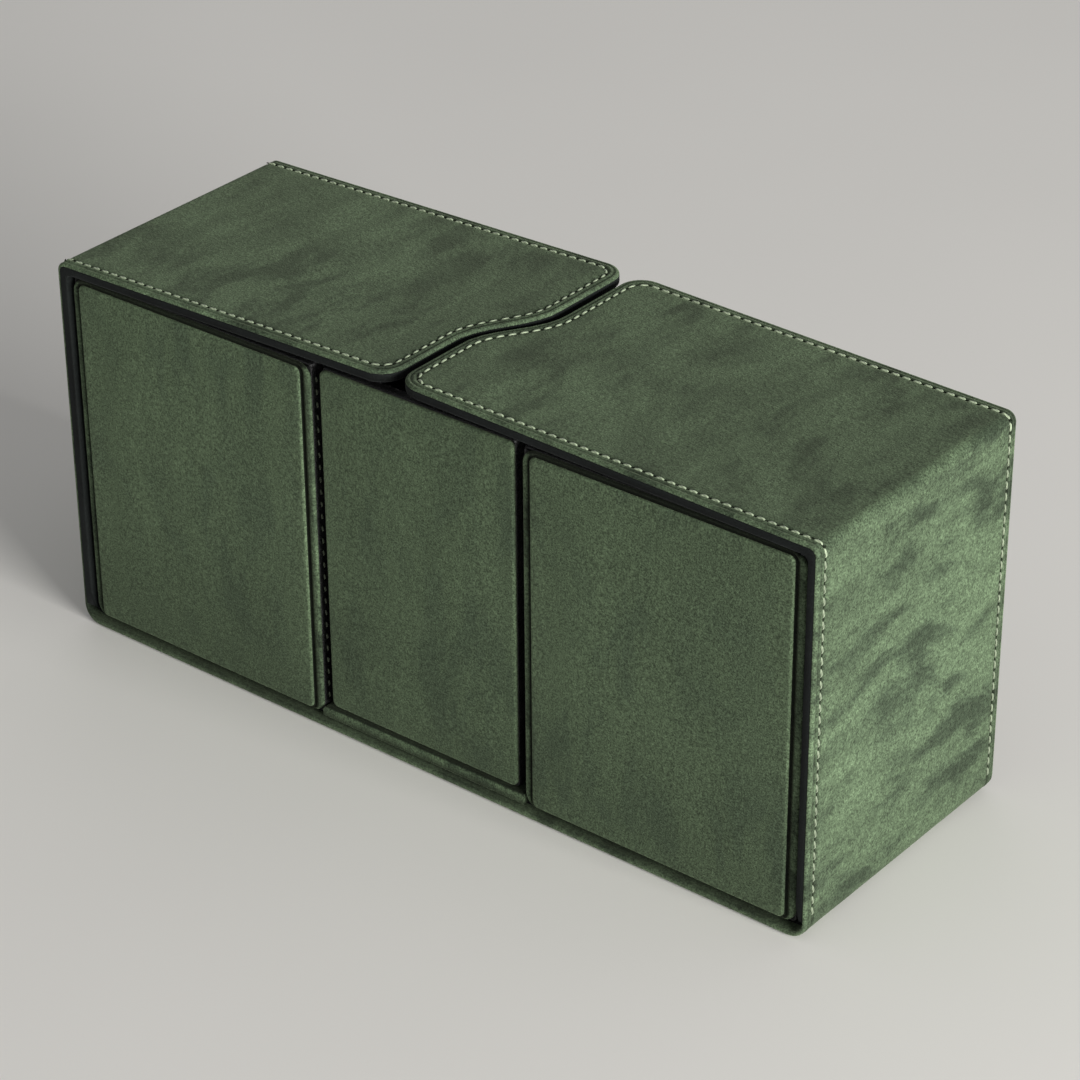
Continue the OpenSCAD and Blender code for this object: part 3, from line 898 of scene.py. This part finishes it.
def skin_object(name, centre_x, width, depth, z0):
    """The leatherette that wraps under a box and up its two sides, to just below the rim."""
    half = width / 2
    lines = between_edges(-depth / 2, depth / 2, 0.3 * MM, 5 * MM)
    joint = z0 + 1.6 * MM
    top = BOX_TOP - 0.6 * MM
    outer = swept(cradle_path(half, z0, top, 1.2 * MM, joint), lines)
    inner = swept(cradle_path(half - SKIN_T, z0 + SKIN_T, top, 0.6 * MM, joint), lines)
    outer[..., 0] += centre_x
    inner[..., 0] += centre_x
    reach = np.broadcast_to(depth / 2 - np.abs(lines), outer.shape[:2])
    return sheet_object(
        name, outer, inner, reach, "black_leatherette", 0.25 * MM, 0.1 * MM, uneven=0.03 * MM,
    )


def quarter_turn(half_x, half_y, corner, z, radius, angles, way):
    """Loops round a rounded edge, leaning in where way is -1 and out where it is 1."""
    return [
        (half_x + way * radius * (1 - cos(radians(a))), half_y + way * radius * (1 - cos(radians(a))),
         corner, z - radius * (1 - sin(radians(a))))
        for a in angles
    ]


def rim_object(name, centre_x, width, depth):
    """The skin's upper edge, turned over the board and down inside."""
    half_x, half_y = width / 2, depth / 2
    in_x = half_x - SKIN_T - CARCASS_T - TUB_T
    in_y = half_y - CARCASS_T - TUB_T
    outside, inside = 0.8 * MM, 1.2 * MM
    top = BOX_TOP + 0.3 * MM
    hem = BOX_TOP - RIM_TURN
    steps = (0, 22, 45, 68, 90)
    loops = [
        (half_x, half_y, outside, BOX_TOP - SKIN_T),
        *quarter_turn(half_x, half_y, outside, top, 0.45 * MM, steps, -1),
        *quarter_turn(in_x, in_y, inside, top, 0.6 * MM, steps[::-1], 1),
        (in_x, in_y, inside, hem + 0.3 * MM),
        (in_x + 0.3 * MM, in_y + 0.3 * MM, inside, hem),
        (in_x + TUB_T, in_y + TUB_T, inside, hem),
        (in_x + TUB_T, in_y + TUB_T, inside, BOX_TOP),
        (half_x - SKIN_T, half_y - SKIN_T, outside, BOX_TOP),
        (half_x - SKIN_T, half_y - SKIN_T, outside, BOX_TOP - SKIN_T),
    ]
    return lofted(name, loops, centre_x, "black_leatherette", ring=True)


def tub_object(name, centre_x, width, depth, z0):
    """The microfibre lining: a soft tub with a filleted floor, glued over the rim's turned edge."""
    out_x = width / 2 - SKIN_T - CARCASS_T
    out_y = depth / 2 - CARCASS_T
    wall = TUB_T + 0.25 * MM
    in_x, in_y = out_x - wall, out_y - wall
    floor = z0 + SKIN_T + CARCASS_T
    inside = floor + TUB_T
    top = BOX_TOP - TUB_DROP
    lip, fillet, slack = 0.4 * MM, 1.6 * MM, 0.1 * MM
    steps = (0, 45, 90)
    loops = [
        (out_x, out_y, 1.0 * MM, floor),
        (out_x, out_y, 1.0 * MM, top - lip),
        *quarter_turn(out_x - slack, out_y - slack, 1.2 * MM, top, lip, steps, -1),
        *quarter_turn(in_x, in_y, fillet, top, lip, steps[::-1], 1),
        *((in_x, in_y, fillet, z) for z in np.linspace(top - 4 * MM, inside + fillet, 9)),
        *quarter_turn(in_x, in_y, fillet, inside, -fillet, (18, 36, 54, 72, 90), 1),
    ]
    return lofted(name, loops, centre_x, "microfibre")


def container(body, skin_node):
    """The skin, the turned rim and the microfibre lining of one box or of the tray."""
    low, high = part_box(skin_node)
    centre_x = (low.x + high.x) / 2
    width, depth = high.x - low.x, high.y - low.y
    skin = skin_object(body + "_leatherette", centre_x, width, depth, low.z)
    settle(skin, body, body + "_skin")
    rim = rim_object(body + "_rim", centre_x, width, depth)
    settle(rim, body)
    tub = tub_object(body + "_microfibre", centre_x, width, depth, low.z)
    settle(tub, body, body + "_lining")


class DECKBOX_OT_containers(Operator):
    """Makes the skins, rims and linings of the two deck boxes and the tray."""

    bl_idname = "deckbox.containers"
    bl_label = "Deck boxes and tray"

    def execute(self, context):
        for body in ("left_box", "right_box", "tray"):
            container(body, body + "_skin")
        return {"FINISHED"}


class DECKBOX_OT_panels(Operator):
    """Makes the suede layers and the padded raised panels of the boxes and the tray."""

    bl_idname = "deckbox.panels"
    bl_label = "Padded panels"

    def execute(self, context):
        for face, face_name in FACE_NAMES.items():
            for body in ("left_box", "right_box", "tray"):
                stem = body + "_" + face_name
                if body != "tray":
                    self.margin(stem, body, face)
                self.pad(stem, body, face, context.scene.deckbox_shape)
        return {"FINISHED"}

    def margin(self, stem, body, face):
        margin = plate_object(
            stem + "_margin", stem + "_layer", face, LAYER_CORNER, "green_suede", LAYER_ROUND, 0.1 * MM, 0.0,
            raised=stem + "_panel",
        )
        settle(margin, body, stem + "_layer")

    def pad(self, stem, body, face, shape):
        pad = plate_object(
            stem + "_pad", stem + "_panel", face, PAD_CORNER, "raised_suede", shape.panel_round, 0.25 * MM,
            shape.panel_crown, lift=TRAY_PAD_LIFT if body == "tray" else 0.0,
        )
        settle(pad, body, stem + "_panel")


# ---------- stitching ----------

STITCH_RINGS = 11
STITCH_SIDES = 10
STITCH_LEAN = radians(7)
PLY_TURNS = 1.6
HOLE_SIDES = 10
HOLE_LENGTH, HOLE_WIDTH = 0.5 * MM, 0.36 * MM


def stitch_mesh(spots, size, hole):
    """Threads and needle holes at spots, each one (place, along, out). A needle hole is a small dark disc of
    painted shade.
    """
    span, width, height = size
    points, faces, marks, finish = [], [], [], []
    for place, along, out in spots:
        side = np.cross(out, along)
        way = along * cos(STITCH_LEAN) + side * sin(STITCH_LEAN)
        beside = side * cos(STITCH_LEAN) - along * sin(STITCH_LEAN)
        base = len(points)
        for ring in range(STITCH_RINGS):
            t = ring / (STITCH_RINGS - 1)
            taper = (1 - abs(2 * t - 1) ** 4) ** 0.5 * 0.55 + 0.45 if 0 < ring < STITCH_RINGS - 1 else 0.3
            centre = place + way * (t - 0.5) * span + out * height * (0.55 - 1.9 * abs(2 * t - 1) ** 3.5)
            for k in range(STITCH_SIDES):
                a = 2 * pi * k / STITCH_SIDES
                ply = cos(2 * a - 2 * pi * PLY_TURNS * t)
                swell = taper * (1 + 0.10 * ply)
                ring_point = beside * cos(a) * width / 2 * swell + out * sin(a) * height * swell
                points.append(centre + ring_point)
                marks.append(0.5 + 0.5 * ply)
        for ring in range(STITCH_RINGS - 1):
            for k in range(STITCH_SIDES):
                n = (k + 1) % STITCH_SIDES
                a, b = base + ring * STITCH_SIDES, base + (ring + 1) * STITCH_SIDES
                faces.append([a + k, a + n, b + n, b + k])
                finish.append(0)
        last = base + (STITCH_RINGS - 1) * STITCH_SIDES
        faces += [[base + k for k in range(STITCH_SIDES)][::-1], [last + k for k in range(STITCH_SIDES)]]
        finish += [0, 0]
        # the needle holes are flat dark discs of painted shade, not holes
        if hole:
            foot = place + along * hole / 2
            base = len(points)
            points += [foot + out * 0.05 * MM, foot - out * 0.25 * MM]
            marks += [0, 0]
            for k in range(HOLE_SIDES):
                a = 2 * pi * k / HOLE_SIDES
                rim = along * cos(a) * HOLE_LENGTH + side * sin(a) * HOLE_WIDTH
                points.append(foot + rim + out * 0.01 * MM)
                marks.append(0)
            for k in range(HOLE_SIDES):
                n = (k + 1) % HOLE_SIDES
                faces += [[base, base + 2 + k, base + 2 + n], [base + 1, base + 2 + n, base + 2 + k]]
                finish += [1, 1]
    return np.array(points), faces, np.array(marks), finish


def stitch_object(name, spots, thread, hole=True):
    shape = bpy.context.scene.deckbox_shape
    size = (shape.stitch_length, shape.stitch_width, shape.stitch_width * 0.36)
    points, faces, marks, finish = stitch_mesh(spots, size, shape.stitch_pitch if hole else 0)
    return make_object(name, points, faces, [thread, "needle_hole"], {"ply": marks}, finish)


def spots_along(path, outs, pitch):
    """Evenly spaced stitches along a path of points, with the way out of the surface at each."""
    steps = np.linalg.norm(np.diff(path, axis=0), axis=1)
    along = np.concatenate([[0], np.cumsum(steps)])
    spots = []
    for at in np.arange(pitch / 2, along[-1] - pitch / 4, pitch):
        place, ahead, behind = (
            np.array([np.interp(at + d, along, path[:, k]) for k in range(3)])
            for d in (0, 0.2 * MM, -0.2 * MM)
        )
        out = np.array([np.interp(at, along, outs[:, k]) for k in range(3)])
        out = out / np.linalg.norm(out)
        way = (ahead - behind) / np.linalg.norm(ahead - behind)
        spots.append((place, way, out))
    return spots


class DECKBOX_OT_stitching(Operator):
    """Sews the wrap, the hinges, the flaps and the boxes' sides."""

    bl_idname = "deckbox.stitching"
    bl_label = "Stitching"

    def execute(self, context):
        shape = context.scene.deckbox_shape
        wall_spots = []
        for side, name in SIDE_NAMES.items():
            flap = name + "_flap"
            hinge_spots, flap_spots = [], []
            seam = self.seam(side, shape.stitch_inset)
            for place, way, out in spots_along(*seam, shape.stitch_pitch):
                if place[2] < WALL_TOP:
                    group = wall_spots
                elif HALF_W - side * place[0] < HINGE_GAP:
                    group = hinge_spots
                else:
                    group = flap_spots
                group.append((place, way, out))
            sewn = stitch_object(flap + "_thread", flap_spots, "thread")
            settle(sewn, flap, flap + "_stitching")
            turned = stitch_object(name + "_hinge_thread", hinge_spots, "thread")
            hinge_blend(turned)
            settle(turned)
            self.box_rows(name + "_box")
        # the wall's stitches take the darker, painted-shade copy of the thread
        walls = stitch_object("wrap_thread", wall_spots, "wall_thread")
        settle(walls, "base", "base_stitching")
        return {"FINISHED"}

    def seam(self, side, inset):
        """A seam up a wall's front, round the flap and down its back, with the way out of the suede."""
        outline = flap_outline(side, inset)
        flap = on_hinge(side, outline[:, 0], outline[:, 1], STITCH_SINK)
        above, level = (on_hinge(side, outline[:, 0], outline[:, 1], height) for height in (1.0, 0.0))
        arc, _, _, normal = hinge_section(side)
        wall_z = np.linspace(WRAP_CORNER + 1 * MM, WALL_TOP, 30)
        rows, outs = [], []
        for face in (FRONT, BACK):
            turn_x = side * (HALF_W - arc[:, 0] - STITCH_SINK * normal[:, 0])
            turn = np.stack([turn_x, 0 * turn_x, HINGE_Z + arc[:, 1] + STITCH_SINK * normal[:, 1]], -1)
            wall = np.stack([np.full(30, side * (HALF_W + STITCH_SINK)), 0 * wall_z, wall_z], -1)
            row = np.concatenate([wall, turn[1:]])
            row[:, 1] = face * (HALF_D - inset)
            turn_out = np.stack([-side * normal[:, 0], 0 * turn_x, normal[:, 1]], -1)
            outs.append(np.concatenate([np.broadcast_to([side, 0.0, 0.0], wall.shape), turn_out[1:]]))
            rows.append(row)
        path = np.concatenate([rows[0], flap[1:-1], rows[1][::-1]])
        return path, np.concatenate([outs[0], (above - level)[1:-1], outs[1][::-1]])

    def box_rows(self, body):
        low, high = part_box(body + "_skin")
        spots = []
        for x, out_x in ((low.x, -1.0), (high.x, 1.0)):
            for y in (low.y + BOX_STITCH_INSET, high.y - BOX_STITCH_INSET):
                z = np.linspace(low.z + 3 * MM, high.z - 3 * MM, 20)
                path = np.stack([np.full(20, x - out_x * 0.02 * MM), np.full(20, y), z], -1)
                outs = np.broadcast_to(np.array([out_x, 0.0, 0.0]), path.shape)
                spots += spots_along(path, outs, BOX_STITCH_PITCH)
        points, faces, marks, finish = stitch_mesh(spots, BOX_STITCH_SIZE, 0)
        sewn = make_object(body + "_thread", points, faces, ["grey_thread"], {"ply": marks}, finish)
        settle(sewn, body, body + "_stitching")


class DECKBOX_OT_inner_parts(Operator):
    """Finishes the boards, the carcasses and the magnets, which keep their own shapes."""

    bl_idname = "deckbox.inner_parts"
    bl_label = "Boards and magnets"

    def execute(self, context):
        finishes = {"board": "greyboard", "carcass": "bound_board", "magnets": "magnet"}
        for name, piece in frame["nodes"].items():
            finish = finishes.get(name.split("_")[-1])
            if finish:
                for material_slot in piece.material_slots:
                    material_slot.material = finish_named(finish)
        return {"FINISHED"}


# ---------- the studio ----------

class DECKBOX_OT_stage(Operator):
    """Makes the pale floor, the soft light and the camera."""

    bl_idname = "deckbox.stage"
    bl_label = "Studio"

    AZIMUTH, ELEVATION, DISTANCE, ROLL = radians(38.95), radians(30.1), 0.9565, radians(0.445)
    AIM_RIGHT, AIM_DOWN = 5.55 * MM, 4.69 * MM

    def execute(self, context):
        studio = context.scene.deckbox_studio
        floor = self.floor()
        floor.data.materials.append(finish_named("studio_floor"))
        self.sky(context.scene, studio.sky)
        self.lamp("key_light", studio.key, (1.2, 0.68), (2.2, -0.41, 0.515), (1.0, 0.985, 0.95))
        self.lamp("top_light", studio.top, (1.2, 1.2), (-0.25, -0.55, 1.5), (0.97, 0.985, 1.0))
        self.lamp("rear_light", studio.rear, (1.2, 0.5), (-1.5, 1.7, 0.26), (1.0, 0.99, 0.97))
        self.camera(context.scene, studio.focal_length)
        context.scene.view_settings.view_transform = "Standard"
        return {"FINISHED"}

    def floor(self):
        half, count = 6.0, 24
        steps = np.linspace(-half, half, count + 1)
        points = [(x, y, -0.2 * MM) for x in steps for y in steps]
        corners = (0, count + 1, count + 2, 1)
        faces = [[i * (count + 1) + j + k for k in corners] for i in range(count) for j in range(count)]
        mesh = bpy.data.meshes.new("studio_floor")
        mesh.from_pydata(points, [], faces)
        floor = bpy.data.objects.new("studio_floor", mesh)
        bpy.context.scene.collection.objects.link(floor)
        return floor

    def sky(self, scene, strength):
        world = bpy.data.worlds.new("studio_sky")
        world.use_nodes = True
        backdrop = world.node_tree.nodes["Background"]
        backdrop.inputs["Color"].default_value = (1.0, 0.995, 0.985, 1.0)
        backdrop.inputs["Strength"].default_value = strength
        scene.world = world

    def lamp(self, name, power, size, place, tint):
        data = bpy.data.lights.new(name, "AREA")
        data.shape = "RECTANGLE"
        data.size, data.size_y = size
        data.energy = power
        data.color = tint
        lamp = bpy.data.objects.new(name, data)
        lamp.location = place
        lamp.rotation_euler = (Vector((0, 0, 0.05)) - Vector(place)).to_track_quat("-Z", "Y").to_euler()
        lamp.visible_camera = False
        bpy.context.scene.collection.objects.link(lamp)

    def camera(self, scene, focal_length):
        data = bpy.data.cameras.new("camera")
        data.lens = focal_length
        data.sensor_width = 36
        away = Vector((
            sin(self.AZIMUTH) * cos(self.ELEVATION),
            -cos(self.AZIMUTH) * cos(self.ELEVATION),
            sin(self.ELEVATION),
        ))
        right = Vector((cos(self.AZIMUTH), sin(self.AZIMUTH), 0))
        up = away.cross(right)
        aim = Vector((0, 0, HINGE_Z / 2)) + right * self.AIM_RIGHT - up * self.AIM_DOWN
        turned_right = right * cos(self.ROLL) - up * sin(self.ROLL)
        turned_up = up * cos(self.ROLL) + right * sin(self.ROLL)
        axes = Matrix((turned_right, turned_up, away)).transposed().to_4x4()
        camera = bpy.data.objects.new("camera", data)
        camera.matrix_world = Matrix.Translation(aim + away * self.DISTANCE) @ axes
        scene.collection.objects.link(camera)
        scene.camera = camera


class DECKBOX_PT_sidebar(Panel):
    """Lists the sizes and colours, and the operators that make each group of pieces."""

    bl_idname = "DECKBOX_PT_sidebar"
    bl_label = "Card deck box"
    bl_space_type = "VIEW_3D"
    bl_region_type = "UI"
    bl_category = "Deck box"

    def draw(self, context):
        for group in ("deckbox_shape", "deckbox_finish", "deckbox_studio"):
            box = self.layout.box()
            settings = getattr(context.scene, group)
            for name in settings.bl_rna.properties.keys():
                if name not in ("rna_type", "name"):
                    box.prop(settings, name)
        for operator in OPERATORS:
            self.layout.operator(operator.bl_idname)


OPERATORS = (
    DECKBOX_OT_stage, DECKBOX_OT_inner_parts, DECKBOX_OT_wrap, DECKBOX_OT_hinges, DECKBOX_OT_flaps,
    DECKBOX_OT_containers, DECKBOX_OT_panels, DECKBOX_OT_stitching,
)
GROUPS = {
    "deckbox_shape": DECKBOX_PG_shape,
    "deckbox_finish": DECKBOX_PG_finish,
    "deckbox_studio": DECKBOX_PG_studio,
}


def register():
    for cls in (*GROUPS.values(), *OPERATORS, DECKBOX_PT_sidebar):
        bpy.utils.register_class(cls)
    for name, group in GROUPS.items():
        setattr(bpy.types.Scene, name, PointerProperty(type=group))


def unregister():
    for name in GROUPS:
        delattr(bpy.types.Scene, name)
    for cls in (DECKBOX_PT_sidebar, *reversed(OPERATORS), *GROUPS.values()):
        bpy.utils.unregister_class(cls)


def main():
    register()
    bpy.ops.deckbox.stage()
    bpy.ops.deckbox.inner_parts()
    bpy.ops.deckbox.wrap()
    bpy.ops.deckbox.hinges()
    bpy.ops.deckbox.flaps()
    bpy.ops.deckbox.containers()
    bpy.ops.deckbox.panels()
    bpy.ops.deckbox.stitching()


if __name__ == "__main__":
    main()
